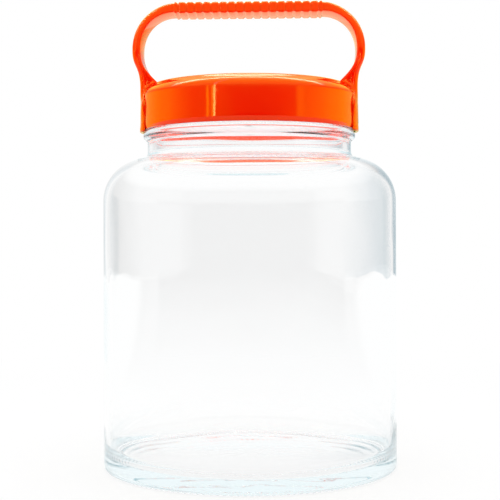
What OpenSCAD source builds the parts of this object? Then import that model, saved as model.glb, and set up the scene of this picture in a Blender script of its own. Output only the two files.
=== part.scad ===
// Wide-mouth glass fermenting jar with a screw cap, a carrying handle and an inner lid.
// Origin: centre of the jar's foot, +Z up. The handle's legs stand on the X axis and -Y is the front.

/* [Jar body] */
// Outside diameter of the glass body
body_d = 166; // [150:1:190]
// Height at which the straight wall runs into the shoulder
body_h = 150.3; // [110:0.1:190]
// Thickness of the glass wall
wall_t = 3.1; // [2.4:0.1:4.5]
// Thickness of the glass floor at the middle
floor_t = 7; // [5:0.5:10]
// Radius of the rounded shoulder
shoulder_r = 24; // [18:1:28]
// Radius of the outside heel, where the wall meets the foot
heel_r = 2.5; // [1.5:0.5:5]
// Radius inside the jar, where the wall meets the floor
floor_r = 9; // [5:0.5:14]
// Height of the hollow under the foot
punt_h = 2.5; // [1:0.5:4]
// Width of the flat ring that the jar stands on
foot_w = 5; // [3:0.5:8]

/* [Neck and mouth] */
// Height of the neck, from the top of the shoulder to the rim
neck_h = 36.2; // [33:0.1:45]
// Outside diameter of the neck below the bead
neck_d = 115.8; // [113:0.1:117]
// Radius of the fillet between shoulder and neck
neck_fillet = 4; // [2:0.5:5]
// Thickness of the glass in the neck
neck_t = 4; // [3:0.1:5]
// Outside diameter of the bead below the cap
bead_d = 120.6; // [119:0.1:123]
// Radius of the bead's round section
bead_r = 3.1; // [2.5:0.1:3.6]
// Diameter of the threaded wall, measured between its threads
finish_d = 109; // [104:0.5:110]
// Thickness of the threaded wall
finish_t = 3; // [2.4:0.1:4]
// Radius of the rounded rim
lip_r = 1; // [0.5:0.1:1.1]

/* [Thread] */
// Rise of the thread in one turn
pitch = 8; // [7.5:0.1:9]
// Height of the glass thread above its wall
thread_depth = 2.1; // [1.6:0.1:2.2]
// Turns of thread on the glass
glass_turns = 1.15; // [0.9:0.05:1.2]
// Turns of thread inside the cap
cap_turns = 1.1; // [0.8:0.05:1.2]
// Height of each thread at its foot
thread_foot = 3; // [2.6:0.1:3.2]
// Height of each thread at its crest
thread_crest = 1.3; // [0.8:0.1:1.6]
// Gap between a thread's crest and the wall that it faces
thread_gap = 0.8; // [0.5:0.1:1.2]

/* [Screw cap] */
// Height of the cap
cap_h = 25.4; // [25:0.1:27]
// Thickness of the cap's skirt
skirt_t = 2.3; // [1.8:0.1:3]
// Thickness of the cap's top
cap_top_t = 2.2; // [1.6:0.1:3]
// Height of the raised disc on top of the cap
step_h = 3.2; // [2:0.1:3.5]
// How far the raised disc is set in from the skirt
step_in = 2.1; // [1:0.1:3]
// Radius that rounds the raised disc and the skirt's top edge
cap_round = 2.4; // [1:0.1:2.6]
// Depth of the shallow panel in the middle of the top
panel_depth = 0.6; // [0.3:0.1:1]
// Diameter of that panel
panel_d = 84; // [60:1:92]

/* [Handle] */
// Height of the grip's top above the cap
grip_rise = 46.1; // [38:0.1:60]
// Width of the loop over its legs
loop_w = 131.7; // [128:0.1:140]
// Height above the cap at which the loop is widest
bulge_h = 20; // [16:0.5:24]
// Thickness of the grip
grip_t = 5.4; // [4.5:0.1:7]
// Depth of the grip from front to back
grip_depth = 20; // [16:0.5:26]
// Thickness of the legs
leg_t = 5; // [3.8:0.1:6]
// Depth of the straps from front to back
strap_depth = 29; // [22:0.5:34]
// Thickness of the straps at the edge of the cap's top
strap_t = 2.1; // [1.6:0.1:2.6]
// How much thicker the straps are at the bottom
strap_draft = 0.4; // [0:0.1:0.8]
// How far the straps reach below the skirt
strap_drop = 0.8; // [0:0.1:1]
// Distance of each inner foot from the middle of the cap
foot_x = 51; // [47:0.5:53]
// Number of ribs along the grip
rib_count = 18; // [10:1:20]
// Spacing of the ribs
rib_pitch = 4.67; // [3.5:0.01:5]
// Width of the groove between two ribs
rib_groove = 0.8; // [0.5:0.1:1.6]
// How far a rib stands above the grip
rib_proud = 0.65; // [0.3:0.05:1]
// Thickness of the ribs that frame the pocket in each root
root_rib_t = 2.2; // [1.6:0.1:2.6]
// Thickness of the rib under the pocket, along the cap
pocket_floor_t = 1.4; // [1:0.1:2]
// Depth of the pocket in each face of a root
pocket_depth = 3; // [1:0.5:5]
// Height of the pocket's tip above the cap
pocket_h = 13; // [8:0.5:18]
// Width of the toe that hooks under the skirt
toe_w = 10; // [6:0.5:14]
// Height of that toe
toe_h = 1.5; // [1:0.1:2]

/* [Inner lid] */
// Thickness of the inner lid's flange
flange_t = 1.8; // [1.4:0.1:2.4]
// Depth of the plug below the rim
plug_depth = 12.5; // [9:0.5:15]
// Thickness of the plug's wall
plug_t = 1.6; // [1.2:0.1:2.4]
// Thickness of the plug's floor
plug_floor_t = 1.8; // [1.4:0.1:2.4]
// Gap between the plug and the glass
plug_gap = 0.3; // [0.2:0.05:0.6]
// Width of the bar that the inner lid is pulled out by
bar_w = 14; // [10:0.5:20]
// Thickness of that bar
bar_t = 2; // [1.5:0.1:3]
// Number of lugs inside the cap that carry the inner lid's flange
lug_count = 6; // [3:1:8]
// How far each lug reaches under the flange
lug_grip = 0.8; // [0.5:0.1:1]
// Height of each lug
lug_h = 0.9; // [0.6:0.1:1]

/* [Seal and valve] */
// Thickness of the seal on the rim
seal_t = 1.5; // [1:0.1:2]
// Diameter of the valve's umbrella
valve_d = 20; // [16:0.5:24]
// Thickness of the umbrella
valve_t = 1.4; // [1:0.1:1.8]
// Diameter of the valve's stem
stem_d = 4; // [3:0.1:5]
// Diameter of the vent holes under the umbrella
vent_d = 2.4; // [1.6:0.1:3]
// Number of vent holes
vent_count = 6; // [3:1:6]

/* [Hidden] */
$fn = 180;

// Running gap between pieces that lift past each other, and the gap of a snapped or pushed fit
run_gap = 0.3;
snug_gap = 0.05;

// Jar
body_r = body_d / 2;
shoulder_x = body_r - shoulder_r;
shoulder_z = body_h + shoulder_r;
rim_z = shoulder_z + neck_h;
neck_r = neck_d / 2;
finish_r = finish_d / 2;
mouth_r = finish_r - finish_t;
neck_in_r = neck_r - neck_t;
bead_x = bead_d / 2 - bead_r;
bead_fillet = 2;
neck_in_fillet = 3;

// Stack on the rim, from the glass upwards
seal_top = rim_z + seal_t;
flange_top = seal_top + flange_t;
cap_z = flange_top + cap_top_t;
skirt_z = cap_z - cap_h;
bead_z = skirt_z - run_gap - bead_r;

// Threads: the cap's thread runs half a pitch below the glass's, and starts just above the toes
crest_r = finish_r + thread_depth;
cap_in_r = crest_r + thread_gap;
cap_r = cap_in_r + skirt_t;
cap_crest_r = finish_r + thread_gap;
thread_margin = 0.6;
glass_thread_z = rim_z - lip_r - thread_margin - thread_foot / 2 - glass_turns * pitch;
cap_thread_z = skirt_z + toe_h + thread_margin + thread_foot / 2;
cap_thread_start = 360 * (cap_thread_z - glass_thread_z + pitch / 2) / pitch;
thread_step = 6;
thread_runout = 24;
thread_root = 0.6;

// Inner lid
flange_r = cap_in_r - 1;
plug_r = mouth_r - plug_gap;
plug_z = rim_z - plug_depth;
plug_top = plug_z + plug_floor_t;
bar_z = seal_top - bar_t;
seal_r = finish_r - 0.2;
lug_top = seal_top - run_gap;
lug_angle = 20;
umbrella_rim_t = 0.6;
vent_circle_r = stem_d / 2 + 1 + vent_d;
bulb_r = stem_d / 2 + 0.9;

// Handle: outline of the right half, in X and Z
strap_top_r = cap_r + snug_gap + strap_t;
strap_r = strap_top_r + strap_draft;
strap_z = skirt_z - strap_drop;
loop_r = loop_w / 2;
grip_x = (rib_count * rib_pitch - rib_groove) / 2;
bend_x = grip_x + 1;
grip_z = cap_z + grip_rise;
bulge_z = cap_z + bulge_h;
leg_in_r = loop_r - leg_t;
strap_top_z = cap_z - 2;
flare_low_z = cap_z - 12;
web_t = grip_depth - 2 * pocket_depth;
curve_steps = 12;

function curve(a, b, c, d) =
    [for (i = [0:curve_steps]) let (t = i / curve_steps, s = 1 - t)
        s * s * s * a + 3 * s * s * t * b + 3 * s * t * t * c + t * t * t * d];

function reversed(list) = [for (i = [len(list) - 1:-1:0]) list[i]];

function mirrored(points) = [for (p = reversed(points)) [-p.x, p.y]];

// In each curve the shares of its run set how far the bend stays full before it turns
outer_bend = curve([bend_x, grip_z],
                   [bend_x + 0.34 * (loop_r - bend_x), grip_z],
                   [loop_r, bulge_z + 0.7 * (grip_z - bulge_z)],
                   [loop_r, bulge_z]);
outer_leg = curve([loop_r, bulge_z],
                  [loop_r, bulge_z - 0.48 * (bulge_z - strap_top_z)],
                  [strap_top_r, bulge_z - 0.35 * (bulge_z - strap_top_z)],
                  [strap_top_r, strap_top_z]);
inner_bend = curve([bend_x, grip_z - grip_t],
                   [bend_x + 0.41 * (leg_in_r - bend_x), grip_z - grip_t],
                   [leg_in_r, bulge_z + 0.72 * (grip_z - grip_t - bulge_z)],
                   [leg_in_r, bulge_z]);
inner_leg = curve([leg_in_r, bulge_z],
                  [leg_in_r, bulge_z - 0.57 * bulge_h],
                  [foot_x + 0.42 * (leg_in_r - foot_x), cap_z + 0.26 * bulge_h],
                  [foot_x, cap_z]);

// Glass

// Round corner between a round shoulder of radius r about [x, z] and an upright wall at wall_x
module shoulder_fillet(wall_x, f, x, z, r) {
    dx = max(0, wall_x + f - x);
    centre_z = z + sqrt(pow(r + f, 2) - dx * dx);
    difference() {
        polygon([[wall_x, z], [min(x, wall_x + f), z], [wall_x + f, centre_z], [wall_x, centre_z]]);
        translate([wall_x + f, centre_z]) circle(f);
    }
}

module bar_2d(x, z0, z1) translate([0, z0]) square([x, z1 - z0]);

module jar_outside_2d() {
    bar_2d(body_r - heel_r, 0, body_h);
    bar_2d(body_r, heel_r, body_h);
    translate([body_r - heel_r, heel_r]) circle(heel_r);
    bar_2d(shoulder_x, body_h, shoulder_z);
    intersection() {
        translate([shoulder_x, body_h]) circle(shoulder_r);
        translate([0, body_h]) square(body_d);
    }
    bar_2d(neck_r, body_h, bead_z);
    shoulder_fillet(neck_r, neck_fillet, shoulder_x, body_h, shoulder_r);
    translate([bead_x, bead_z]) circle(bead_r);
    translate([0, 2 * bead_z]) mirror([0, 1])
        shoulder_fillet(neck_r, bead_fillet, bead_x, bead_z, bead_r);
    bar_2d(finish_r, bead_z, rim_z - lip_r);
    bar_2d(finish_r - lip_r, bead_z, rim_z);
    translate([finish_r - lip_r, rim_z - lip_r]) circle(lip_r);
}

module jar_inside_2d() {
    inner_r = body_r - wall_t;
    above = rim_z + 1;
    bar_2d(inner_r - floor_r, floor_t, body_h);
    bar_2d(inner_r, floor_t + floor_r, body_h);
    translate([inner_r - floor_r, floor_t + floor_r]) circle(floor_r);
    bar_2d(shoulder_x, body_h, shoulder_z - wall_t);
    intersection() {
        translate([shoulder_x, body_h]) circle(shoulder_r - wall_t);
        translate([0, body_h]) square(body_d);
    }
    bar_2d(neck_in_r, body_h, bead_z - bead_r);
    shoulder_fillet(neck_in_r, neck_in_fillet, shoulder_x, body_h, shoulder_r - wall_t);
    polygon([[0, bead_z - bead_r], [neck_in_r, bead_z - bead_r], [mouth_r, skirt_z + 2], [0, skirt_z + 2]]);
    bar_2d(mouth_r, skirt_z, above);
    difference() {
        bar_2d(mouth_r + lip_r, rim_z - lip_r, above);
        translate([mouth_r + lip_r, rim_z - lip_r]) circle(lip_r);
    }
}

// Ridge that climbs round the axis, with a trapezium for its section. It stands on the wall at
// foot_r and reaches to crest_at, outwards or inwards, and fades out at both ends.
module helix_ridge(foot_r, crest_at, z, turns) {
    sections = round(turns * 360 / thread_step);
    side = sign(crest_at - foot_r);
    height = abs(crest_at - foot_r);
    flank = (thread_foot - thread_crest) / 2 / height;
    function fade(i) = min(1, (min(i, sections - i) + 0.5) * thread_step / thread_runout);
    function section(i) =
        let (a = i * turns * 360 / sections, rise = z + pitch * a / 360, proud = height * fade(i),
             half_top = thread_crest / 2, half_foot = half_top + flank * (proud + thread_root))
        [for (p = [[-thread_root, -half_foot], [proud, -half_top], [proud, half_top], [-thread_root, half_foot]])
            let (r = foot_r + side * p[0]) [r * cos(a), r * sin(a), rise + p[1]]];
    points = [for (i = [0:sections]) each section(i)];
    skin = [for (i = [0:sections - 1]) for (k = [0:3])
        let (n = (k + 1) % 4) each [[4 * i + k, 4 * i + n, 4 * i + 4 + n], [4 * i + k, 4 * i + 4 + n, 4 * i + 4 + k]]];
    faces = concat(skin, [[3, 2, 1, 0], [for (k = [0:3]) 4 * sections + k]]);
    polyhedron(points, side > 0 ? faces : [for (f = faces) reversed(f)], convexity = 6);
}

module glass_jar() color([0.78, 0.86, 0.88, 0.5]) {
    punt_r = body_r - heel_r - foot_w;
    punt_sphere_r = (punt_r * punt_r + punt_h * punt_h) / (2 * punt_h);
    difference() {
        rotate_extrude() jar_outside_2d();
        rotate_extrude() jar_inside_2d();
        translate([0, 0, punt_h - punt_sphere_r]) sphere(punt_sphere_r);
    }
    helix_ridge(finish_r, crest_r, glass_thread_z, glass_turns);
}

// Cap

module cap_outside_2d(grow = 0) {
    step_z = cap_z - step_h + grow;
    top_z = cap_z + grow;
    r = cap_r + grow;
    top_r = cap_r - step_in + grow;
    bar_2d(r, skirt_z, step_z - cap_round);
    bar_2d(r - cap_round, skirt_z, step_z);
    translate([r - cap_round, step_z - cap_round]) circle(cap_round);
    bar_2d(top_r, skirt_z, top_z - cap_round);
    bar_2d(top_r - cap_round, skirt_z, top_z);
    translate([top_r - cap_round, top_z - cap_round]) circle(cap_round);
}

module screw_cap() color([0.98, 0.33, 0.02]) {
    difference() {
        rotate_extrude() cap_outside_2d();
        translate([0, 0, skirt_z - 1]) cylinder(r = cap_in_r, h = cap_h - cap_top_t + 1);
        translate([0, 0, cap_z - panel_depth]) cylinder(d = panel_d, h = 2 * panel_depth);
        for (side = [0, 180]) rotate(side)
            translate([cap_in_r - 1, -toe_w / 2 - run_gap, skirt_z - 1])
                cube([skirt_t + 3, toe_w + 2 * run_gap, toe_h + snug_gap + 1]);
    }
    rotate(cap_thread_start) helix_ridge(cap_in_r, cap_crest_r, cap_thread_z, cap_turns);
    for (i = [0:lug_count - 1]) rotate(i * 360 / lug_count - lug_angle / 2)
        rotate_extrude(angle = lug_angle)
            translate([flange_r - lug_grip, lug_top - lug_h])
                square([cap_in_r - flange_r + lug_grip + skirt_t / 2, lug_h]);
}

// Handle

module loop_2d() {
    outer = concat(outer_bend, [for (i = [1:curve_steps]) outer_leg[i]], [[strap_r, strap_z]]);
    inner = concat(inner_bend, [for (i = [1:curve_steps]) inner_leg[i]], [[foot_x, strap_z]]);
    half = concat(outer, reversed(inner));
    polygon(concat(half, mirrored(half)));
}

// Area from the axis out to a leg's line, shifted sideways
module within_2d(leg, shift)
    polygon(concat([for (p = leg) p + [shift, 0]],
                   [[leg[curve_steps].x + shift, skirt_z], [0, skirt_z], [0, leg[0].y]]));

// Pocket in a root, between the strap's rib, the inner foot's rib and the rib along the cap
module pocket_2d() difference() {
    intersection() {
        within_2d(outer_leg, -root_rib_t);
        square([loop_r, cap_z + pocket_h]);
    }
    within_2d(inner_leg, root_rib_t);
    cap_outside_2d(pocket_floor_t);
}

// Depth of the handle seen from the side: wide at the straps, narrow from the root up
module depth_2d() {
    a = strap_depth / 2;
    b = grip_depth / 2;
    flare = (strap_top_z - flare_low_z) / 2;
    side = concat([[a, strap_z]],
                  curve([a, flare_low_z], [a, flare_low_z + flare], [b, strap_top_z - flare], [b, strap_top_z]),
                  [[b, grip_z + 1]]);
    polygon(concat(side, mirrored(side)));
}

module carry_handle() color([1, 0.36, 0.02]) {
    reach = loop_w + 20;
    leg_clear_r = loop_r + 8;
    difference() {
        intersection() {
            rotate([90, 0, 0]) linear_extrude(strap_depth, center = true) loop_2d();
            rotate([90, 0, 90]) linear_extrude(reach, center = true) depth_2d();
            union() {
                translate([0, 0, strap_z])
                    cylinder(r1 = strap_r, r2 = strap_top_r, h = strap_top_z - strap_z);
                translate([0, 0, strap_top_z])
                    cylinder(r1 = strap_top_r, r2 = leg_clear_r, h = bulge_z - strap_top_z);
                translate([0, 0, bulge_z]) cylinder(r = leg_clear_r, h = grip_rise);
            }
        }
        rotate_extrude() cap_outside_2d(snug_gap);
        translate([0, 0, strap_z - 1]) cylinder(r = cap_r + snug_gap, h = strap_drop + 2);
        for (face = [-1, 1]) translate([0, face * (web_t / 2 + strap_depth / 2), 0])
            rotate([90, 0, 0]) linear_extrude(strap_depth, center = true) {
                pocket_2d();
                mirror([1, 0]) pocket_2d();
            }
    }
    for (i = [0:rib_count - 1])
        translate([(i - (rib_count - 1) / 2) * rib_pitch, 0, grip_z - grip_t / 2])
            cube([rib_pitch - rib_groove, grip_depth + 2 * rib_proud, grip_t + 2 * rib_proud], center = true);
    for (side = [0, 180]) rotate(side) intersection() {
        translate([cap_in_r + run_gap, -toe_w / 2, skirt_z])
            cube([strap_r - cap_in_r, toe_w, toe_h]);
        translate([0, 0, skirt_z]) cylinder(r = strap_top_r, h = cap_h);
    }
}

// Inner lid with its seal and valve

module inner_lid() color([0.93, 0.94, 0.92]) {
    difference() {
        union() {
            translate([0, 0, seal_top]) cylinder(r = flange_r, h = flange_t);
            translate([0, 0, plug_z]) cylinder(r = plug_r, h = seal_top - plug_z);
        }
        translate([0, 0, plug_top]) cylinder(r = plug_r - plug_t, h = cap_z - plug_top);
        translate([0, 0, plug_z - 1]) cylinder(r = stem_d / 2 + snug_gap, h = plug_floor_t + 2);
        for (i = [0:vent_count - 1]) rotate(i * 360 / vent_count)
            translate([vent_circle_r, 0, plug_z - 1]) cylinder(d = vent_d, h = plug_floor_t + 2);
    }
    intersection() {
        translate([-plug_r, -bar_w / 2, bar_z]) cube([2 * plug_r, bar_w, bar_t]);
        translate([0, 0, plug_z]) cylinder(r = plug_r - plug_t / 2, h = cap_z - plug_z);
    }
}

module rim_seal() color([0.9, 0.9, 0.88]) difference() {
    translate([0, 0, rim_z]) cylinder(r = seal_r, h = seal_t);
    translate([0, 0, rim_z - 1]) cylinder(r = plug_r + snug_gap, h = seal_t + 2);
}

module release_valve() color([0.75, 0.78, 0.8]) {
    translate([0, 0, plug_top]) cylinder(r1 = valve_d / 2, r2 = valve_d / 2 - 1, h = umbrella_rim_t);
    translate([0, 0, plug_top]) cylinder(r1 = valve_d / 3, r2 = valve_d / 5, h = valve_t);
    translate([0, 0, plug_z - 1]) cylinder(d = stem_d, h = plug_top - plug_z + 2);
    translate([0, 0, plug_z - snug_gap - bulb_r]) cylinder(r1 = stem_d / 4, r2 = bulb_r, h = bulb_r);
}

glass_jar();
screw_cap();
carry_handle();
inner_lid();
rim_seal();
release_valve();
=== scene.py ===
import math

import bpy
import numpy as np
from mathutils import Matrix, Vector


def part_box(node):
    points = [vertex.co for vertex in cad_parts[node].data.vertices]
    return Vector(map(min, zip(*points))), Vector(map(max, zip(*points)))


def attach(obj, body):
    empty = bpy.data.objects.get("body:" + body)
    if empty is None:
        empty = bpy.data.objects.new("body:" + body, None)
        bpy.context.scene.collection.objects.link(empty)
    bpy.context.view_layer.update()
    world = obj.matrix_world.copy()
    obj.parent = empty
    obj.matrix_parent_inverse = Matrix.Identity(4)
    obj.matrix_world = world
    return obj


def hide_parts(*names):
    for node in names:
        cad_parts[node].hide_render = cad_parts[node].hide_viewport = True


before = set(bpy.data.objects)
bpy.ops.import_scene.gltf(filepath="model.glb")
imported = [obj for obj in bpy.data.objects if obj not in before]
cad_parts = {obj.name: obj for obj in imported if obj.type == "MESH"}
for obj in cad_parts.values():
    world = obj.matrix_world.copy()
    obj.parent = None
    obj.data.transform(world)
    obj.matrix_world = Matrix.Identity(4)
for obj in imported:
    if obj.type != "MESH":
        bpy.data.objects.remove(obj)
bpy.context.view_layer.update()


# Glass jar: one piece of clear soda glass, pressed at the neck and blown into a polished mould.
# The floor is thick and hollow below, the foot is knurled, and the neck has a bead and a thread.

body_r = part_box("glass_jar")[1].x
rim_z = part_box("glass_jar")[1].z
body_h = 0.1503
wall_t = 0.0031
floor_t = 0.007
floor_r = 0.009
heel_r = 0.0025
foot_w = 0.005
punt_h = 0.0025
shoulder_r = 0.024
neck_r = 0.0579
neck_t = 0.004
neck_fillet = 0.004
neck_in_fillet = 0.003
bead_r = 0.0031
bead_x = 0.0603 - bead_r
bead_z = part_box("screw_cap")[0].z - 0.0003 - bead_r
bead_fillet = 0.002
finish_r = 0.0545
mouth_r = 0.0515
lip_r = 0.001
pitch = 0.008
thread_foot = 0.003
thread_crest = 0.0013
thread_depth = 0.0021
glass_turns = 1.15
glass_thread_z = rim_z - lip_r - 0.0021 - glass_turns * pitch
glass_columns = 432
knurls = 144
knurl_depth = 0.00035


def arc(x, z, r, start, end, points):
    """Points evenly spaced on a circle of radius r about (x, z), from angle start to angle end, in degrees."""
    a = np.radians(np.linspace(start, end, points))
    return np.column_stack([x + r * np.cos(a), z + r * np.sin(a)])


def line(x0, z0, x1, z1, points):
    """Points evenly spaced on the straight line from (x0, z0) to (x1, z1)."""
    return np.linspace((x0, z0), (x1, z1), points)


def outline(*stretches):
    """Stretches of points laid end to end, each joint kept once."""
    points = np.vstack(stretches)
    step = np.hypot(*np.diff(points, axis=0).T)
    return points[np.concatenate([[True], step > 1e-7])]


def smooth(x):
    """0 below 0, 1 above 1, and between them 3 x squared less 2 x cubed."""
    x = np.clip(x, 0, 1)
    return x * x * (3 - 2 * x)


def angles(columns):
    """Angles round the axis from +X, one to a column, as one row."""
    return np.linspace(0, 2 * np.pi, columns, endpoint=False)[None, :]


def turned(r, z, theta):
    """Rings round the Z axis: (r cos theta, r sin theta, z), with a row for each point of the outline."""
    r, z, theta = np.broadcast_arrays(r, z, theta)
    return np.stack([r * np.cos(theta), r * np.sin(theta), z], axis=-1)


def thread(theta, z, start_z, turns):
    """Share of a thread's height at (theta, z). It is 1 within half a crest of a centre line that climbs one
    pitch a turn from start_z at angle 0, falls smoothly to 0 at half a foot from it, and fades at both ends."""
    runout = math.radians(24)
    share = np.zeros(np.broadcast(theta, z).shape)
    for turn in range(math.ceil(turns)):
        along = theta + 2 * np.pi * turn
        off = np.abs(z - start_z - pitch * along / (2 * np.pi))
        flank = smooth((thread_foot / 2 - off) / (thread_foot / 2 - thread_crest / 2))
        ends = np.minimum(along, turns * 2 * np.pi - along) / runout
        share = np.maximum(share, flank * smooth(ends))
    return share


def skin(name, parts, body, material, nodes):
    """One object from closed skins. A part is (rings, closing): its rings have the shape (n, m, 3), and point j
    of a ring joins point j + 1 of that ring and point j of the next. Closing "poles" fills the first and last
    ring to their middle point, and "loop" joins the last ring to the first."""
    points, quads, fans, first = [], [], [], 0
    for rings, closing in parts:
        n, m = rings.shape[:2]
        index = first + np.arange(n * m).reshape(n, m)
        following = np.roll(index, -1, axis=1)
        rows = np.arange(n if closing == "loop" else n - 1)
        after = (rows + 1) % n
        quads.append(np.stack([index[rows], following[rows], following[after], index[after]], -1).reshape(-1, 4))
        points.append(rings.reshape(-1, 3))
        first += n * m
        if closing == "poles":
            points.append(np.stack([rings[0].mean(0), rings[-1].mean(0)]))
            fans.append(np.stack([following[0], index[0], np.full(m, first)], -1))
            fans.append(np.stack([index[-1], following[-1], np.full(m, first + 1)], -1))
            first += 2
    faces = np.vstack(quads).tolist() + (np.vstack(fans).tolist() if fans else [])
    mesh = bpy.data.meshes.new(name)
    mesh.from_pydata(np.vstack(points).tolist(), [], faces)
    mesh.polygons.foreach_set("use_smooth", np.ones(len(faces), bool))
    mesh.materials.append(material)
    mesh.update()
    piece = bpy.data.objects.new(name, mesh)
    bpy.context.scene.collection.objects.link(piece)
    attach(piece, body)
    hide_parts(*nodes)
    return piece


def material_of(name):
    """An empty node material: its node tree, and its output."""
    material = bpy.data.materials.new(name)
    material.use_nodes = True
    tree = material.node_tree
    tree.nodes.clear()
    return material, tree, tree.nodes.new("ShaderNodeOutputMaterial")


def noise(tree, scale, detail, low, high):
    """Noise on Object coordinates, scale in waves a metre, spread over low to high."""
    place = tree.nodes.new("ShaderNodeTexCoord")
    texture = tree.nodes.new("ShaderNodeTexNoise")
    texture.inputs["Scale"].default_value = scale
    texture.inputs["Detail"].default_value = detail
    spread = tree.nodes.new("ShaderNodeMapRange")
    spread.inputs["From Min"].default_value = 0.3
    spread.inputs["From Max"].default_value = 0.7
    spread.inputs["To Min"].default_value = low
    spread.inputs["To Max"].default_value = high
    tree.links.new(place.outputs["Object"], texture.inputs["Vector"])
    tree.links.new(texture.outputs["Fac"], spread.inputs["Value"])
    return spread.outputs["Result"]


def painted_glow_behind_glass(tree, most):
    """A strength for a painted glow that a part gives off where it is seen through glass: most behind glass, and 0 in
    the open.
    """
    path = tree.nodes.new("ShaderNodeLightPath")
    share = tree.nodes.new("ShaderNodeMath")
    share.operation = "MINIMUM"
    share.inputs[1].default_value = 1
    scale = tree.nodes.new("ShaderNodeMath")
    scale.operation = "MULTIPLY"
    scale.inputs[1].default_value = most
    tree.links.new(path.outputs["Transmission Depth"], share.inputs[0])
    tree.links.new(share.outputs["Value"], scale.inputs[0])
    return scale.outputs["Value"]


def bump(tree, height, distance):
    """A normal bent by a height from 0 to 1, times distance in metres."""
    node = tree.nodes.new("ShaderNodeBump")
    node.inputs["Distance"].default_value = distance
    tree.links.new(height, node.inputs["Height"])
    return node.outputs["Normal"]


def clear_glass():
    """Soda glass: polished, faintly blue-green in its depth, slightly uneven, and open to lamps' shadow rays."""
    material, tree, output = material_of("clear_glass")
    glass = tree.nodes.new("ShaderNodeBsdfPrincipled")
    glass.inputs["Base Color"].default_value = (1, 1, 1, 1)
    glass.inputs["Transmission Weight"].default_value = 1
    glass.inputs["IOR"].default_value = 1.5
    glass.inputs["Roughness"].default_value = 0
    tree.links.new(bump(tree, noise(tree, 45, 1, 0, 1), 0.00003), glass.inputs["Normal"])
    path = tree.nodes.new("ShaderNodeLightPath")
    clear = tree.nodes.new("ShaderNodeBsdfTransparent")
    mix = tree.nodes.new("ShaderNodeMixShader")
    depth = tree.nodes.new("ShaderNodeVolumeAbsorption")
    depth.inputs["Color"].default_value = (0.55, 0.86, 0.93, 1)
    depth.inputs["Density"].default_value = 2
    tree.links.new(path.outputs["Is Shadow Ray"], mix.inputs["Fac"])
    tree.links.new(glass.outputs["BSDF"], mix.inputs[1])
    tree.links.new(clear.outputs["BSDF"], mix.inputs[2])
    tree.links.new(mix.outputs["Shader"], output.inputs["Surface"])
    tree.links.new(depth.outputs["Volume"], output.inputs["Volume"])
    return material


def jar_outline():
    """The glass's section from the middle of the foot, up the outside, over the rim and down the inside, and
    the number of its first point on the inside."""
    shoulder_x = body_r - shoulder_r
    inner_r = body_r - wall_t
    punt_r = body_r - heel_r - foot_w
    punt_x = np.linspace(0.02, 1, 9)[:, None] * punt_r
    fillet_x = neck_r + neck_fillet
    fillet_z = body_h + math.sqrt((shoulder_r + neck_fillet) ** 2 - (fillet_x - shoulder_x) ** 2)
    lean = math.degrees(math.atan2(fillet_z - body_h, fillet_x - shoulder_x))
    under_x = neck_r + bead_fillet
    under_z = bead_z - math.sqrt((bead_r + bead_fillet) ** 2 - (under_x - bead_x) ** 2)
    tuck = math.degrees(math.atan2(bead_z - under_z, under_x - bead_x))
    crown = math.degrees(math.acos((finish_r - bead_x) / bead_r))
    neck_in_r = neck_r - neck_t
    step_z = body_h + shoulder_r - wall_t
    outside = outline(
        np.hstack([punt_x, punt_h * (1 - (punt_x / punt_r) ** 2)]),
        line(punt_r, 0, body_r - heel_r, 0, 6),
        arc(body_r - heel_r, heel_r, heel_r, -90, 0, 9),
        line(body_r, heel_r, body_r, 0.006, 3),
        line(body_r, 0.006, body_r, body_h, 9),
        arc(shoulder_x, body_h, shoulder_r, 0, lean, 24),
        arc(fillet_x, fillet_z, neck_fillet, lean + 180, 180, 8),
        line(neck_r, fillet_z, neck_r, under_z, 4),
        arc(under_x, under_z, bead_fillet, 180, 180 - tuck, 6),
        arc(bead_x, bead_z, bead_r, -tuck, crown, 16),
        line(finish_r, bead_z + bead_r * math.sin(math.radians(crown)), finish_r, rim_z - lip_r, 46),
        arc(finish_r - lip_r, rim_z - lip_r, lip_r, 0, 90, 5),
    )
    inside = outline(
        arc(mouth_r + lip_r, rim_z - lip_r, lip_r, 90, 180, 5),
        line(mouth_r, rim_z - lip_r, mouth_r, bead_z + 0.0054, 5),
        line(mouth_r, bead_z + 0.0054, neck_in_r, bead_z - bead_r, 6),
        line(neck_in_r, bead_z - bead_r, neck_in_r, step_z + neck_in_fillet, 5),
        arc(neck_in_r + neck_in_fillet, step_z + neck_in_fillet, neck_in_fillet, 180, 270, 7),
        arc(shoulder_x, body_h, shoulder_r - wall_t, 90, 0, 18),
        line(inner_r, body_h, inner_r, floor_t + floor_r, 16),
        arc(inner_r - floor_r, floor_t + floor_r, floor_r, 0, -90, 9),
        line(inner_r - floor_r, floor_t, 0.002, floor_t, 11),
    )
    return np.vstack([outside, inside]), len(outside)


def waves(theta, r, z):
    """Unevenness of blown glass, from -1 to 1: four sine waves that each run round the axis and up it."""
    return (0.4 * np.sin(2 * theta + 21 * z + 0.8) + 0.3 * np.sin(3 * theta - 38 * z + 2.1)
            + 0.2 * np.sin(7 * theta + 62 * z + 75 * r) + 0.1 * np.sin(13 * theta - 110 * z + 0.4))


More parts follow.
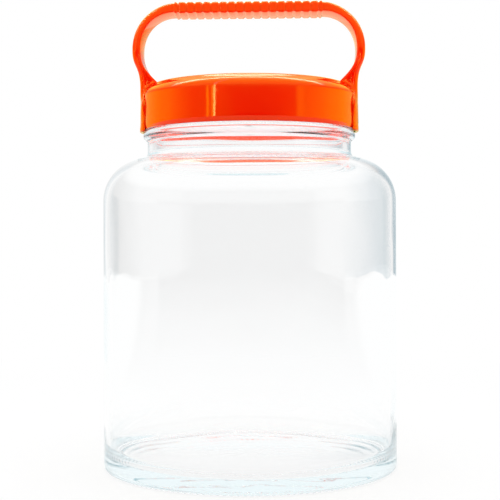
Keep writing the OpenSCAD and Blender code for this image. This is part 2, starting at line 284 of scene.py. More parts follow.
section, inside_from = jar_outline()
theta = angles(glass_columns)
r, z = section[:, :1], section[:, 1:]
rows = np.arange(len(section))[:, None]
inside = rows >= inside_from
on_finish = ~inside & (z > bead_z) & (z < rim_z - lip_r / 2) & (r < bead_x)
on_foot = ~inside & (z < heel_r) & (r > body_r - heel_r - foot_w)
ridge = on_finish * thread_depth * thread(theta, z, glass_thread_z, glass_turns)
calm = smooth((rim_z - 0.02 - z) / 0.03) * smooth(r / 0.02)
uneven = inside * calm * 0.00018 * waves(theta, r, z)
knurl = on_foot * smooth((body_r - r) / 0.0015) * (0.5 - 0.5 * np.cos(knurls * theta))
upright = smooth((z - floor_t) / floor_r)
jar_rings = turned(r + ridge - uneven * upright, z + knurl * knurl_depth + uneven * (1 - upright), theta)
jar = skin("jar", [(jar_rings, "poles")], "jar", clear_glass(), ["glass_jar"])
bounces = bpy.context.scene.cycles
bounces.max_bounces = 160
bounces.glossy_bounces = bounces.transmission_bounces = 128


# Rim seal: a flat ring of clear silicone, punched from sheet. It lies loose on the glass rim, round
# the inner lid's plug, and the flange presses on it.

seal_low, seal_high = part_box("rim_seal")
seal_in_r = 0.05125
seal_round = 0.0003


def rounded(x0, x1, z0, z1, r, points=4, long=2):
    """Section of a bar with round edges of radius r, anticlockwise from its lower right corner."""
    return outline(
        arc(x1 - r, z0 + r, r, -90, 0, points),
        arc(x1 - r, z1 - r, r, 0, 90, points),
        line(x1 - r, z1, x0 + r, z1, long),
        arc(x0 + r, z1 - r, r, 90, 180, points),
        arc(x0 + r, z0 + r, r, 180, 270, points),
        line(x0 + r, z0, x1 - r, z0, long)[:-1],
    )


def silicone():
    """Silicone rubber: translucent, softly matt, with fine dust-like unevenness."""
    material, tree, output = material_of("silicone")
    rubber = tree.nodes.new("ShaderNodeBsdfPrincipled")
    tint = tree.nodes.new("ShaderNodeValToRGB")
    tint.color_ramp.elements[0].color = (0.74, 0.77, 0.77, 1)
    tint.color_ramp.elements[1].color = (0.84, 0.86, 0.86, 1)
    tree.links.new(noise(tree, 220, 3, 0, 1), tint.inputs["Fac"])
    tree.links.new(tint.outputs["Color"], rubber.inputs["Base Color"])
    tree.links.new(noise(tree, 900, 2, 0.42, 0.58), rubber.inputs["Roughness"])
    tree.links.new(bump(tree, noise(tree, 1500, 2, 0, 1), 0.00003), rubber.inputs["Normal"])
    rubber.inputs["Transmission Weight"].default_value = 0.3
    tree.links.new(rubber.outputs["BSDF"], output.inputs["Surface"])
    return material


section = rounded(seal_in_r, seal_high.x, seal_low.z, seal_high.z, seal_round)
theta = angles(180)
seal_rings = turned(section[:, :1], section[:, 1:], theta)
rubber = silicone()
skin("seal", [(seal_rings, "loop")], "inner", rubber, ["rim_seal"])


# Inner lid: a stopper moulded in milky polyethylene. Its plug fits inside the glass mouth, its
# flange hangs on lugs in the cap, and a bar moulded across the recess pulls it out.

lid_low, lid_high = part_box("inner_lid")
flange_r = lid_high.x
flange_t = 0.0018
plug_r = 0.0512
plug_t = 0.0016
plug_top = lid_low.z + 0.0018
lid_round = 0.0005
plug_round = 0.0012
stem_gap_r = 0.00205
bar_w = 0.014
bar_t = 0.002
vents = 6
vent_r = 0.0012
vent_circle_r = 0.0054


def milky_plastic():
    """Polyethylene: milky, so that light wanders through it, with a soft sheen and the swirl of the melt."""
    material, tree, output = material_of("milky_plastic")
    plastic = tree.nodes.new("ShaderNodeBsdfPrincipled")
    tint = tree.nodes.new("ShaderNodeValToRGB")
    tint.color_ramp.elements[0].color = (0.88, 0.9, 0.89, 1)
    tint.color_ramp.elements[1].color = (0.94, 0.95, 0.94, 1)
    tree.links.new(noise(tree, 55, 4, 0, 1), tint.inputs["Fac"])
    tree.links.new(tint.outputs["Color"], plastic.inputs["Base Color"])
    tree.links.new(noise(tree, 380, 3, 0.28, 0.4), plastic.inputs["Roughness"])
    tree.links.new(bump(tree, noise(tree, 700, 2, 0, 1), 0.00003), plastic.inputs["Normal"])
    plastic.inputs["Subsurface Weight"].default_value = 0.6
    plastic.inputs["Subsurface Radius"].default_value = (1, 0.9, 0.8)
    plastic.inputs["Subsurface Scale"].default_value = 0.003
    # Painted glow: seen through glass the plastic gives off pale light, and none in the open.
    plastic.inputs["Emission Color"].default_value = (0.75, 0.97, 1, 1)
    tree.links.new(painted_glow_behind_glass(tree, 0.5), plastic.inputs["Emission Strength"])
    tree.links.new(plastic.outputs["BSDF"], output.inputs["Surface"])
    return material


def bar_between(x0, x1, y0, y1, z0, z1, r):
    """Rings of a bar along X with round edges: a rounded section at each station, drawn in at both ends."""
    ring = rounded(y0, y1, z0, z1, r, 5)
    middle = np.array([(y0 + y1) / 2, (z0 + z1) / 2])
    half = np.array([(y1 - y0) / 2, (z1 - z0) / 2])
    turn = np.radians(np.linspace(0, 90, 5))
    drawn = np.concatenate([1 - np.sin(turn), 1 - np.sin(turn[::-1])]) * r
    x = np.concatenate([x0 + r * (1 - np.cos(turn)), x1 - r * (1 - np.cos(turn[::-1]))])
    across = middle + (ring - middle) * (1 - drawn[:, None, None] / half)
    return np.dstack([np.broadcast_to(x[:, None], across.shape[:2]), across])


flange_z = lid_high.z - flange_t
section = outline(
    line(stem_gap_r, lid_low.z, 0.003, lid_low.z, 2),
    line(0.003, lid_low.z, 0.0078, lid_low.z, 22),
    line(0.0078, lid_low.z, plug_r - plug_round, lid_low.z, 9),
    arc(plug_r - plug_round, lid_low.z + plug_round, plug_round, -90, 0, 6),
    line(plug_r, lid_low.z + plug_round, plug_r, flange_z, 5),
    arc(flange_r - lid_round, flange_z + lid_round, lid_round, -90, 0, 4),
    arc(flange_r - lid_round, lid_high.z - lid_round, lid_round, 0, 90, 4),
    arc(plug_r - plug_t + lid_round, lid_high.z - lid_round, lid_round, 90, 180, 4),
    arc(plug_r - plug_t - lid_round, plug_top + lid_round, lid_round, 0, -90, 4),
    line(plug_r - plug_t - lid_round, plug_top, stem_gap_r, plug_top, 9),
    line(stem_gap_r, plug_top, stem_gap_r, lid_low.z, 4)[:-1],
)
theta = angles(216)
r, z = section[:, :1], section[:, 1:]
nearest = np.round(theta / (2 * np.pi / vents)) * 2 * np.pi / vents
to_vent = np.hypot(r * np.cos(theta) - vent_circle_r * np.cos(nearest),
                   r * np.sin(theta) - vent_circle_r * np.sin(nearest))
pit = (z < lid_low.z + 1e-5) * 0.0015 * smooth((vent_r + 0.00012 - to_vent) / 0.00024)
bar_z = flange_z - bar_t
pull_bar = bar_between(-plug_r + plug_t / 2, plug_r - plug_t / 2, -bar_w / 2, bar_w / 2, bar_z, flange_z, 0.0006)
skin("inner_stopper", [(turned(r, z + pit, theta), "loop"), (pull_bar, "poles")],
     "inner", milky_plastic(), ["inner_lid"])


# Release valve: an umbrella of silicone whose stem is pulled through the inner lid's floor. Gas
# lifts its thin rim and slips out through the vents, and no air gets back.

valve_low, valve_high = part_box("release_valve")
umbrella_r = valve_high.x
umbrella_rim_t = 0.0006
umbrella_t = 0.0014
stem_r = 0.002
bulb_r = 0.0029
bulb_top = lid_low.z - 0.00005
section = outline(
    line(0.0002, valve_low.z, stem_r / 2, valve_low.z, 3),
    line(stem_r / 2, valve_low.z, bulb_r - 0.0003, bulb_top - 0.0004, 5),
    arc(bulb_r - 0.0003, bulb_top - 0.0003, 0.0003, -20, 90, 5),
    line(stem_r, bulb_top, stem_r, plug_top, 4),
    line(stem_r, plug_top, umbrella_r - 0.0003, plug_top, 8),
    arc(umbrella_r - 0.0003, plug_top + 0.0003, 0.0003, -90, 90, 6),
    line(umbrella_r - 0.001, plug_top + umbrella_rim_t, umbrella_r * 0.66, plug_top + umbrella_rim_t + 0.0001, 5),
    line(umbrella_r * 0.6, plug_top + umbrella_rim_t + 0.0002, umbrella_r * 0.4, plug_top + umbrella_t, 4),
    line(umbrella_r * 0.36, plug_top + umbrella_t, 0.0002, plug_top + umbrella_t, 5),
)
skin("valve", [(turned(section[:, :1], section[:, 1:], angles(72)), "poles")],
     "inner", rubber, ["release_valve"])


# Screw cap: one moulding of glossy orange plastic, with a smooth skirt, a raised disc on top, a
# screw thread and six lugs inside, and a notch on each side that the handle hooks into.

cap_low, cap_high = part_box("screw_cap")
cap_r = cap_high.x
skirt_z = cap_low.z
cap_z = cap_high.z
skirt_t = 0.0023
cap_in_r = cap_r - skirt_t
cap_top_t = 0.0022
shoulder_round = 0.0055
shoulder_end = 55
disc_round = 0.0024
disc_start = 35
cove = 0.001
hem_round = 0.012
hem_end = 15
panel_r = 0.042
panel_depth = 0.0006
cap_thread_depth = 0.0021
cap_thread_z = glass_thread_z - pitch / 2
cap_turns = 1.1
lugs = 6
lug_top = flange_z - 0.0003
lug_h = 0.0009
lug_in_r = flange_r - 0.0008
lug_half = math.radians(10)
notch_half = 0.0053
notch_h = 0.00155


def orange_plastic():
    """Glossy orange plastic: a deep body colour that shifts a little and lets some light through, a warm shine,
    and soft moulding waves."""
    material, tree, output = material_of("orange_plastic")
    plastic = tree.nodes.new("ShaderNodeBsdfPrincipled")
    tint = tree.nodes.new("ShaderNodeValToRGB")
    tint.color_ramp.elements[0].color = (0.87, 0.0085, 0.0001, 1)
    tint.color_ramp.elements[1].color = (0.9, 0.0135, 0.0003, 1)
    tree.links.new(noise(tree, 28, 3, 0, 1), tint.inputs["Fac"])
    tree.links.new(tint.outputs["Color"], plastic.inputs["Base Color"])
    tree.links.new(noise(tree, 160, 3, 0.055, 0.085), plastic.inputs["Roughness"])
    tree.links.new(bump(tree, noise(tree, 70, 1, 0, 1), 0.00002), plastic.inputs["Normal"])
    plastic.inputs["IOR"].default_value = 1.5
    plastic.inputs["Specular Tint"].default_value = (1, 0.8, 0.45, 1)
    plastic.inputs["Subsurface Weight"].default_value = 0.3
    plastic.inputs["Subsurface Radius"].default_value = (1, 0.3, 0.1)
    plastic.inputs["Subsurface Scale"].default_value = 0.004
    # Painted glow: seen through glass the plastic gives off orange light, and none in the open.
    plastic.inputs["Emission Color"].default_value = (0.9, 0.08, 0.015, 1)
    tree.links.new(painted_glow_behind_glass(tree, 0.75), plastic.inputs["Emission Strength"])
    tree.links.new(plastic.outputs["BSDF"], output.inputs["Surface"])
    return material


def at_angle(r, degrees):
    """The corner (r cos, r sin) of an angle in degrees."""
    return r * math.cos(math.radians(degrees)), r * math.sin(math.radians(degrees))


shoulder_x, shoulder_h = at_angle(shoulder_round, shoulder_end)
disc_x, disc_h = at_angle(disc_round, disc_start)
shoulder_z = cap_z - disc_round + disc_h - cove - shoulder_h
disc_flat_r = cap_r - shoulder_round + shoulder_x - cove - disc_x


def cap_steps(grow, points):
    """The cap's top edge, stood off by grow: a shoulder that curves in from the skirt, a shallow cove, and the
    curved edge of the raised disc."""
    return outline(
        arc(cap_r - shoulder_round, shoulder_z, shoulder_round + grow, 0, shoulder_end, 2 * points),
        arc(disc_flat_r, cap_z - disc_round, disc_round + grow, disc_start, 90, points),
    )


lug_z = lug_top - lug_h
section = outline(
    line(0.0003, cap_z - panel_depth, panel_r - 0.0004, cap_z - panel_depth, 8),
    arc(panel_r - 0.0004, cap_z - panel_depth + 0.0003, 0.0003, -90, -10, 4),
    arc(panel_r + 0.0003, cap_z - 0.0003, 0.0003, 170, 90, 4),
    line(panel_r + 0.0008, cap_z, disc_flat_r, cap_z, 4),
    cap_steps(0, 9)[::-1],
    line(cap_r, shoulder_z, cap_r, skirt_z + 0.004, 10),
    arc(cap_r - hem_round, skirt_z + 0.0036, hem_round, 0, -hem_end, 6),
    arc(cap_r - 0.0009, skirt_z + 0.0005, 0.0005, -hem_end, -90, 4),
    arc(cap_in_r + 0.0003, skirt_z + 0.0003, 0.0003, -90, -180, 4),
    line(cap_in_r, skirt_z + 0.0003, cap_in_r, skirt_z + 0.0025, 4),
    line(cap_in_r, skirt_z + 0.0025, cap_in_r, cap_z - cap_top_t - 0.0004, 50),
    arc(cap_in_r - 0.0004, cap_z - cap_top_t - 0.0004, 0.0004, 0, 90, 4),
    line(cap_in_r - 0.0004, cap_z - cap_top_t, 0.0003, cap_z - cap_top_t, 8),
)[::-1]
theta = angles(360)
r, z = section[:, :1], section[:, 1:]
within = (np.abs(r - cap_in_r) < 1e-5) & (z > skirt_z + 0.0005)
turn_in = within * cap_thread_depth * thread(theta, z, cap_thread_z, cap_turns)
sideways = np.abs(np.sin(theta)) * cap_r
notch = smooth((notch_half + 0.0002 - sideways) / 0.0004) * smooth((skirt_z + 0.004 - z) / 0.0018)
lug_ring = rounded(lug_in_r, cap_in_r + skirt_t / 2, lug_z, lug_top, 0.0002)
lug_theta = np.linspace(-lug_half, lug_half, 9)[:, None]
lug_parts = [(turned(lug_ring[:, 0][None, :], lug_ring[:, 1][None, :], lug_theta + i * 2 * np.pi / lugs), "poles")
             for i in range(lugs)]
cap_rings = turned(r - turn_in, z + notch * notch_h, theta)
orange = orange_plastic()
cap = skin("cap", [(cap_rings, "poles"), *lug_parts], "lid", orange, ["screw_cap"])


# Carrying handle: one loop moulded in the same orange plastic. Each root splits into a rib that
# stands on the cap and a strap that runs down the skirt, with a scooped pocket between them.

grip_low, grip_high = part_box("carry_handle")
loop_r = grip_high.x
rib_proud = 0.00065
grip_z = grip_high.z - rib_proud
grip_t = 0.0054
grip_half = 0.01
leg_t = 0.005
bulge_h = 0.02
strap_half = grip_high.y
strap_z = grip_low.z
seat_r = cap_r + 0.00005
strap_top_r = seat_r + 0.0021
strap_r = seat_r + 0.0025
foot_x = 0.051
rib_count = 18
rib_pitch = 0.00467
rib_groove = 0.0008
root_rib_t = 0.002
inner_rib_t = 0.0009
pocket_floor_t = 0.0014
pocket_depth = 0.0026
pocket_slope = 0.0024
toe_half = 0.005
toe_h = 0.0015


def bezier(a, b, c, d, points):
    """Points on the cubic curve from a to d that leaves towards b and arrives from c."""
    t = np.linspace(0, 1, points)[:, None]
    s = 1 - t
    return s**3 * np.array(a) + 3 * s**2 * t * np.array(b) + 3 * s * t**2 * np.array(c) + t**3 * np.array(d)


def evenly(points, count):
    """The same line with count points at equal distances along it."""
    run = np.concatenate([[0], np.cumsum(np.hypot(*np.diff(points, axis=0).T))])
    at = np.linspace(0, run[-1], count)
    return np.column_stack([np.interp(at, run, points[:, 0]), np.interp(at, run, points[:, 1])])


grip_x = (rib_count * rib_pitch - rib_groove) / 2
bend_x = grip_x + 0.001
bulge_z = cap_z + bulge_h
leg_in_r = loop_r - leg_t
strap_top = cap_z - 0.002
drop = bulge_z - strap_top
seat_z = shoulder_z - 0.001
under_z = grip_z - grip_t

bend_points, leg_points, root_points, strap_points = 40, 56, 36, 26
outer_bend = bezier([bend_x, grip_z], [bend_x + 0.34 * (loop_r - bend_x), grip_z],
                    [loop_r, bulge_z + 0.7 * (grip_z - bulge_z)], [loop_r, bulge_z], bend_points)
inner_bend = bezier([bend_x, under_z], [bend_x + 0.41 * (leg_in_r - bend_x), under_z],
                    [leg_in_r, bulge_z + 0.72 * (under_z - bulge_z)], [leg_in_r, bulge_z], bend_points)
outer_leg = bezier([loop_r, bulge_z], [loop_r, bulge_z - 0.48 * drop],
                   [strap_top_r, bulge_z - 0.35 * drop], [strap_top_r, strap_top], leg_points)
inner_leg = bezier([leg_in_r, bulge_z], [leg_in_r, bulge_z - 0.57 * bulge_h],
                   [foot_x + 0.42 * (leg_in_r - foot_x), cap_z + 0.26 * bulge_h], [foot_x, cap_z], leg_points)
outer_strap = line(strap_top_r, strap_top, strap_r, strap_z, root_points + strap_points)
cap_line = outline(line(foot_x, cap_z, disc_flat_r, cap_z, 8), cap_steps(0.00005, 9)[::-1])
inner_root = evenly(outline(cap_line, line(seat_r, shoulder_z, seat_r, seat_z, 3)), root_points)
inner_strap = line(seat_r, seat_z, seat_r, strap_z, strap_points + 1)

rib_samples = 12
grip_stations = np.linspace(0, bend_x, rib_samples * rib_count // 2 + 1)
outer_half = np.vstack([np.column_stack([grip_stations, np.full_like(grip_stations, grip_z)]),
                        outer_bend[1:], outer_leg[1:], outer_strap[1:]])
inner_half = np.vstack([np.column_stack([grip_stations, np.full_like(grip_stations, under_z)]),
                        inner_bend[1:], inner_leg[1:], inner_root[1:], inner_strap[1:]])


def handle_rings(outer, inner):
    """Rings round the loop. Each is a bar from a point of the outer line to its mate on the inner line, rounded
    at its outer edges, crisp at its inner ones and slightly crowned between them. Down the skirt it turns into
    the strap, which is wider and thins out towards its edges."""
    width = np.hypot(*(inner - outer).T)[:, None]
    strap = smooth((strap_top - outer[:, 1:]) / 0.01)
    bend = smooth((outer[:, :1] - bend_x) / 0.012)
    soft = np.minimum(0.0013 + 0.0012 * bend + 0.0017 * strap, (0.78 + 0.16 * strap) * width)
    crisp = np.minimum(0.0006, (0.18 - 0.14 * strap) * width)
    crown = 0.0003 * smooth((inner[:, 1:] - cap_z) / 0.012)
    thin = soft * (1 + 3 * strap)
    corner = np.radians(np.linspace(0, 90, 8))[None, :]
    flat = np.linspace(0, 1, 7)[None, :-1]
    face = soft + (width - crown - soft - crisp) * np.linspace(0, 1, 26)[None, 1:-1]
    along = np.hstack([0 * width * flat, soft * (1 - np.cos(corner)), face,
                       width - crown - crisp * (1 - np.sin(corner)), width - crown * flat[:, ::-1] ** 2])
    x = outer[:, :1] + (inner - outer)[:, :1] * along / width
    z = outer[:, 1:] + (inner - outer)[:, 1:] * along / width
    half = grip_half + (strap_half - grip_half) * smooth((strap_top - z) / 0.01)
    share = np.hstack([flat + 0 * width, 1 + 0 * width * corner, 1 + 0 * face,
                       1 + 0 * width * corner, flat[:, ::-1] + 0 * width])
    inset = np.hstack([thin + 0 * flat, thin * (1 - np.sin(corner)), 0 * face,
                       crisp * (1 - np.cos(corner)), crisp + 0 * flat])
    return x, z, (half - inset) * share


def to_line(x, z, points):
    """Distance from each (x, z) to a line through points, taken to its nearest stretch."""
    start, step = points[:-1], np.diff(points, axis=0)
    dx, dz = x[..., None] - start[:, 0], z[..., None] - start[:, 1]
    share = np.clip((dx * step[:, 0] + dz * step[:, 1]) / (step**2).sum(1), 0, 1)
    return np.hypot(dx - share * step[:, 0], dz - share * step[:, 1]).min(-1)


x, z, proud = handle_rings(outer_half, inner_half)
rib_to_rib = [to_line(x, z, np.vstack([outer_leg, outer_strap[1:]])[::4]) - root_rib_t,
              to_line(x, z, np.vstack([inner_bend, inner_leg[1:]])[::4]) - inner_rib_t,
              to_line(x, z, cap_line) - pocket_floor_t]
soft_min = 0.0004
room = -soft_min * np.log(sum(np.exp(-d / soft_min) for d in rib_to_rib))
sunk = smooth(room / pocket_slope + 0.1) * smooth((bulge_z - z) / 0.009) * smooth((z - strap_top) / 0.001)
proud = proud - sunk * pocket_depth * smooth(proud / grip_half * 2 - 1)

rib_at = (outer_half[:, :1] / rib_pitch + 0.5 * (rib_count % 2 == 0)) % 1 - 0.5
rib_edge = (0.5 * (rib_pitch - rib_groove) - np.abs(rib_at) * rib_pitch) / 0.0009
rib = np.sqrt(1 - (1 - np.clip(rib_edge, 0, 1)) ** 2) * (outer_half[:, :1] < grip_x) * (outer_half[:, 1:] > bulge_z)
middle_z = grip_z - grip_t / 2
z = np.where(rib > 0, middle_z + (z - middle_z) * (1 + rib * rib_proud / (grip_t / 2)), z)
proud = proud * (1 + rib * rib_proud / grip_half)

bent = smooth((bulge_z - z) / drop)
front = np.stack([np.sqrt(x**2 - bent * proud**2), -proud, z], -1)
back = np.stack([np.sqrt(x**2 - bent * proud**2), proud, z], -1)[:, -2:0:-1]
right = np.concatenate([front, back], axis=1)
left = (right * [-1, 1, 1])[::-1][:-1]
loop = np.concatenate([left, right])
toe = bar_between(cap_in_r + 0.0003, seat_r + 0.0002, -toe_half, toe_half, skirt_z, skirt_z + toe_h, 0.0003)
toes = [(toe, "poles"), (toe * [-1, -1, 1], "poles")]
handle = skin("handle", [(loop, "poles"), *toes], "lid", orange, ["carry_handle"])


# Setting: a white floor that meets a white backdrop, soft lamps at both sides and above, and a sky
# that shows each kind of ray its own studio: white to the camera, even to matt surfaces, warm boxes
# round a dark front to glossy plastic, and to glass a white backdrop and the dim side of a room.

floor_size = 6.0
shadow_r = 0.13
clear_r = 0.6
view_turn = 1.9
view_distance = 0.6557
view_height = 0.1305


def math_node(tree, operation, first, second):
    """A Math node of two values or sockets."""
    node = tree.nodes.new("ShaderNodeMath")
    node.operation = operation
    for socket, value in zip(node.inputs, (first, second)):
        if isinstance(value, (int, float)):
            socket.default_value = value
        else:
            tree.links.new(value, socket)
    return node.outputs["Value"]


def spread_over(tree, value, from_low, from_high, low, high):
    """A value that goes smoothly from low at from_low to high at from_high."""
    node = tree.nodes.new("ShaderNodeMapRange")
    node.interpolation_type = "SMOOTHSTEP"
    for socket, number in zip(("From Min", "From Max", "To Min", "To Max"), (from_low, from_high, low, high)):
        node.inputs[socket].default_value = number
    tree.links.new(value, node.inputs["Value"])
    return node.outputs["Result"]


def ramp(tree, value, stops):
    """Colour along a value from 0 to 1, from (place, colour) stops; a plain number stands for a grey."""
    node = tree.nodes.new("ShaderNodeValToRGB")
    while len(node.color_ramp.elements) < len(stops):
        node.color_ramp.elements.new(0.5)
    for element, (place, colour) in zip(node.color_ramp.elements, stops):
        element.position = place
        element.color = (*colour, 1) if isinstance(colour, tuple) else (colour, colour, colour, 1)
    tree.links.new(value, node.inputs["Fac"])
    return node.outputs["Color"]


def blend_colours(tree, kind, first, second):
    """Two colours put together by a Mix node of this kind at full strength."""
    node = tree.nodes.new("ShaderNodeMix")
    node.data_type = "RGBA"
    node.blend_type = kind
    node.inputs["Factor"].default_value = 1
    tree.links.new(first, node.inputs["A"])
    tree.links.new(second, node.inputs["B"])
    return node.outputs["Result"]


def choose(tree, share, first, second):
    """The first shader where share is 0, the second where it is 1."""
    node = tree.nodes.new("ShaderNodeMixShader")
    tree.links.new(share, node.inputs["Fac"])
    tree.links.new(first, node.inputs[1])
    tree.links.new(second, node.inputs[2])
    return node.outputs["Shader"]


def glow(tree, colour, strength):
    """Light given off by a surface, of a colour or a colour socket."""
    node = tree.nodes.new("ShaderNodeEmission")
    node.inputs["Strength"].default_value = strength
    if isinstance(colour, tuple):
        node.inputs["Color"].default_value = (*colour, 1)
    else:
        tree.links.new(colour, node.inputs["Color"])
    return node.outputs["Emission"]


def white_floor():
    """White paper that takes the jar's shadow. Away from the jar it glows to the camera, so that it meets the
    backdrop unseen. To glossy rays it glows warm yellow near the jar, a painted reflection on the plastic, and to
    glass rays it glows less with distance in front of the jar, a painted shade."""
    material, tree, output = material_of("white_floor")
    paper = tree.nodes.new("ShaderNodeBsdfDiffuse")
    paper.inputs["Color"].default_value = (0.85, 0.85, 0.85, 1)
    place = tree.nodes.new("ShaderNodeTexCoord")
    distance = tree.nodes.new("ShaderNodeVectorMath")
    distance.operation = "LENGTH"
    tree.links.new(place.outputs["Object"], distance.inputs[0])
    parts = tree.nodes.new("ShaderNodeSeparateXYZ")
    tree.links.new(place.outputs["Object"], parts.inputs["Vector"])
    away = math_node(tree, "DIVIDE", distance.outputs["Value"], 3.2)
    # Painted shade for glass rays: the floor glows less the farther it lies from the jar.
    painted_shade_fade = ramp(tree, away, [(0.4 / 3.2, 1.0), (0.66 / 3.2, 0.8), (0.94 / 3.2, 0.68), (1.7 / 3.2, 0.42), (1, 0.2)])
    behind = ramp(tree, spread_over(tree, parts.outputs["Y"], -0.25, 0.15, 0, 1), [(0, 0.0), (1, 1.0)])
    path = tree.nodes.new("ShaderNodeLightPath")
    through = math_node(tree, "MAXIMUM", path.outputs["Is Singular Ray"], path.outputs["Is Transmission Ray"])
    # Painted reflection: glossy rays see the floor glow warm yellow near the jar.
    painted_reflection_tint = ramp(tree, away, [(0.3 / 3.2, (1.0, 0.85, 0.08)), (0.9 / 3.2, (1.0, 0.98, 0.6))])
    lit = choose(tree, path.outputs["Is Glossy Ray"], glow(tree, (1.0, 1.0, 1.0), 1), glow(tree, painted_reflection_tint, 1.2))
    lost = spread_over(tree, path.outputs["Glossy Depth"], 1.2, 1.8, 0, 1)
    painted_glass_view = glow(tree, blend_colours(tree, "LIGHTEN", painted_shade_fade, behind), 1)
    lit = choose(tree, through, lit, choose(tree, lost, painted_glass_view, glow(tree, (1.0, 1.0, 1.0), 1)))
    lit = choose(tree, path.outputs["Is Camera Ray"], lit, glow(tree, (1.0, 1.0, 1.0), 1))
    seen = math_node(tree, "MAXIMUM", path.outputs["Is Camera Ray"], path.outputs["Is Transmission Ray"])
    seen = math_node(tree, "MAXIMUM", seen, path.outputs["Is Glossy Ray"])
    share = math_node(tree, "MULTIPLY", seen, spread_over(tree, distance.outputs["Value"], shadow_r, clear_r, 0.8, 1))
    tree.links.new(choose(tree, share, paper.outputs["BSDF"], lit), output.inputs["Surface"])
    return material


floor_mesh = bpy.data.meshes.new("floor")
reach = floor_size / 2
floor_mesh.from_pydata([(-reach, -reach, -0.0003), (reach, -reach, -0.0003),
                        (reach, reach, -0.0003), (-reach, reach, -0.0003)], [], [(0, 1, 2, 3)])
floor_mesh.materials.append(white_floor())
floor = bpy.data.objects.new("floor", floor_mesh)
bpy.context.scene.collection.objects.link(floor)


def shining(tree, colour, strength):
    """Background of a colour or a colour socket."""
    node = tree.nodes.new("ShaderNodeBackground")
    node.inputs["Strength"].default_value = strength
    if isinstance(colour, tuple):
        node.inputs["Color"].default_value = (*colour, 1)
    else:
        tree.links.new(colour, node.inputs["Color"])
    return node.outputs["Background"]


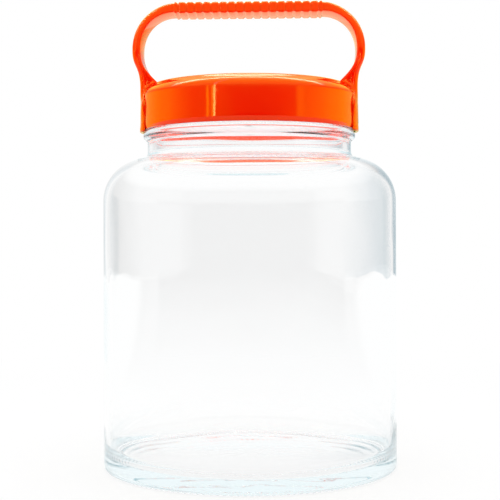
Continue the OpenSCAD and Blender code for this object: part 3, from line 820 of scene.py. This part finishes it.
def studio_sky():
    """The sky. Angles round the jar run from the camera's side, positive to its right, as shares of a turn from
    0.5. Angles over it run from the camera's side, through straight up, to the back, as shares of a half turn."""
    world = bpy.data.worlds.new("studio")
    bpy.context.scene.world = world
    world.use_nodes = True
    world.cycles.sampling_method = "NONE"
    tree = world.node_tree
    tree.nodes.clear()
    output = tree.nodes.new("ShaderNodeOutputWorld")
    place = tree.nodes.new("ShaderNodeTexCoord")
    parts = tree.nodes.new("ShaderNodeSeparateXYZ")
    tree.links.new(place.outputs["Generated"], parts.inputs["Vector"])
    forward = math_node(tree, "MULTIPLY", parts.outputs["Y"], -1)
    turn = math_node(tree, "ARCTAN2", parts.outputs["X"], forward)
    around = math_node(tree, "MULTIPLY_ADD", turn, 0.5 / math.pi)
    around.node.inputs[2].default_value = 0.5
    over = math_node(tree, "MULTIPLY", math_node(tree, "ARCTAN2", parts.outputs["Z"], forward), 1 / math.pi)

    def at(degrees):
        return 0.5 + (degrees + view_turn) / 360

    def warm(level, blue=0.02):
        return (level / peak, 0.95 * level / peak, blue * level / peak)

    peak = 22
    sides = ramp(tree, around, [
        (0, warm(1.0, 0.6)), (at(-163), warm(1.0, 0.5)), (at(-150), warm(0.87, 0.15)), (at(-117), warm(1.6)),
        (at(-96), warm(2.06)), (at(-78), warm(1.35)), (at(-62), warm(0.66)), (at(-46.3), warm(0.7)),
        (at(-45.6), warm(4.3)), (at(-43.8), warm(4.3)), (at(-43), warm(0.7)), (at(-40.7), warm(0.9)),
        (at(-40.2), warm(3.7)), (at(-38.3), warm(3.7)), (at(-37.9), warm(22, 0.4)), (at(-36.7), warm(22, 0.4)),
        (at(-36.4), warm(0.67)), (at(-20), warm(0.36)), (at(-12), 0.0), (at(15), 0.0), (at(32), warm(0.2)),
        (at(50), warm(0.5)), (at(54), warm(2.2)), (at(59), warm(2.2)), (at(62), warm(1.6)), (at(81), warm(2.07)),
        (at(98), warm(2.38)), (at(120), warm(1.79)), (at(140), warm(1.1, 0.1)), (at(159), warm(0.69, 0.17)),
        (1, warm(1.0, 0.6))])
    rise = ramp(tree, parts.outputs["Z"], [
        (0.1, 0.0), (0.125, warm(0.2)), (0.157, warm(1.1, 0.1)), (0.2, warm(1.9, 0.15)), (0.33, warm(2.2, 0.15)),
        (0.63, warm(2.8, 0.1)), (0.74, warm(3.2, 0.1)), (0.85, warm(3.8, 0.15)), (1, warm(5, 0.25))])
    strip = ramp(tree, over, [
        (66 / 180, 0.0), (78 / 180, warm(4.5, 0.15)), (91 / 180, warm(5, 0.3)), (94 / 180, warm(17, 0.75)),
        (102 / 180, warm(17, 0.75)), (106 / 180, warm(4.5, 0.3)), (134 / 180, warm(1.8, 0.3)), (155 / 180, 0.0)])
    high = ramp(tree, spread_over(tree, parts.outputs["Z"], 0.3, 0.75, 0, 1), [(0, 0.0), (1, 1.0)])
    side = spread_over(tree, math_node(tree, "ABSOLUTE", turn, 0), 1.0, 1.7, 1, 0.3)
    facing = math_node(tree, "MAXIMUM", side, spread_over(tree, parts.outputs["Z"], 0.2, 0.45, 0.3, 1))
    rise = blend_colours(tree, "MULTIPLY", rise, ramp(tree, facing, [(0, 0.0), (1, 1.0)]))
    low = ramp(tree, spread_over(tree, parts.outputs["Z"], 0.13, 0.24, 0, 1), [(0, 1.0), (1, (0.38, 0.36, 1.0))])
    room = blend_colours(tree, "LIGHTEN", blend_colours(tree, "MULTIPLY", sides, low), rise)
    room = blend_colours(tree, "LIGHTEN", room, blend_colours(tree, "MULTIPLY", strip, high))

    dark, pale = (0.36, 0.46, 0.51), (0.68, 0.74, 0.77)
    dim = ramp(tree, around, [
        (at(-180), 1.0), (at(-172), 1.0), (at(-164), 0.8), (at(-160), pale), (at(-157), pale), (at(-153), 1.0),
        (at(-140), 0.8), (at(-125), 0.62), (at(-66), 0.5), (at(-54), 0.4), (at(-51), 0.2), (at(50), 0.2),
        (at(53), 0.5), (at(64), 0.7), (at(125), 0.75), (at(140), 0.9), (at(149), 0.85), (at(152), dark),
        (at(160), dark), (at(164), (0.5, 0.6, 0.64)), (at(169), (0.75, 0.8, 0.83)), (at(174), 1.0), (1, 1.0)])
    bright = ramp(tree, spread_over(tree, parts.outputs["Z"], 0.15, 0.5, 0, 1), [(0, 0.0), (1, 1.0)])
    window = blend_colours(tree, "LIGHTEN", dim, bright)

    path = tree.nodes.new("ShaderNodeLightPath")
    through = math_node(tree, "MAXIMUM", path.outputs["Is Singular Ray"], path.outputs["Is Transmission Ray"])
    sky = choose(tree, path.outputs["Is Glossy Ray"], shining(tree, (0.8, 0.8, 0.8), 1), shining(tree, room, peak))
    lost = spread_over(tree, path.outputs["Glossy Depth"], 1.2, 1.8, 0, 1)
    window = choose(tree, lost, shining(tree, window, 1), shining(tree, (1.0, 1.0, 1.0), 1))
    sky = choose(tree, through, sky, window)
    sky = choose(tree, path.outputs["Is Camera Ray"], sky, shining(tree, (1.0, 1.0, 1.0), 1))
    tree.links.new(sky, output.inputs["Surface"])


def lamp(name, place, aim, size, power):
    """A square soft box at place, turned towards aim, that reflections don't show."""
    light = bpy.data.lights.new(name, "AREA")
    light.size = size
    light.energy = power
    holder = bpy.data.objects.new(name, light)
    bpy.context.scene.collection.objects.link(holder)
    holder.location = place
    direction = np.array(aim) - np.array(place)
    holder.rotation_euler = (math.acos(-direction[2] / np.linalg.norm(direction)), 0,
                             math.atan2(direction[1], direction[0]) - math.pi / 2)
    holder.visible_glossy = False
    holder.visible_transmission = False


studio_sky()
lamp("left_lamp", (-0.9, -0.25, 0.45), (0, 0, 0.15), 0.7, 3)
lamp("right_lamp", (0.9, -0.25, 0.45), (0, 0, 0.15), 0.7, 3)
lamp("top_lamp", (0, 0.1, 1.1), (0, 0, 0.1), 0.8, 3.5)


# Camera: level but for a quarter of a degree, and a little to the right of the jar's front, as the
# photograph was taken.

camera_data = bpy.data.cameras.new("camera")
camera_data.sensor_width = 36
camera_data.lens = 82.6
camera_data.shift_x = 0.0006
camera_data.shift_y = -0.028
camera = bpy.data.objects.new("camera", camera_data)
bpy.context.scene.collection.objects.link(camera)
camera.location = (view_distance * math.sin(math.radians(view_turn)),
                   -view_distance * math.cos(math.radians(view_turn)), view_height)
camera.rotation_euler = (math.radians(90), math.radians(0.25), math.radians(view_turn))
bpy.context.scene.camera = camera
bpy.context.scene.view_settings.view_transform = "Standard"
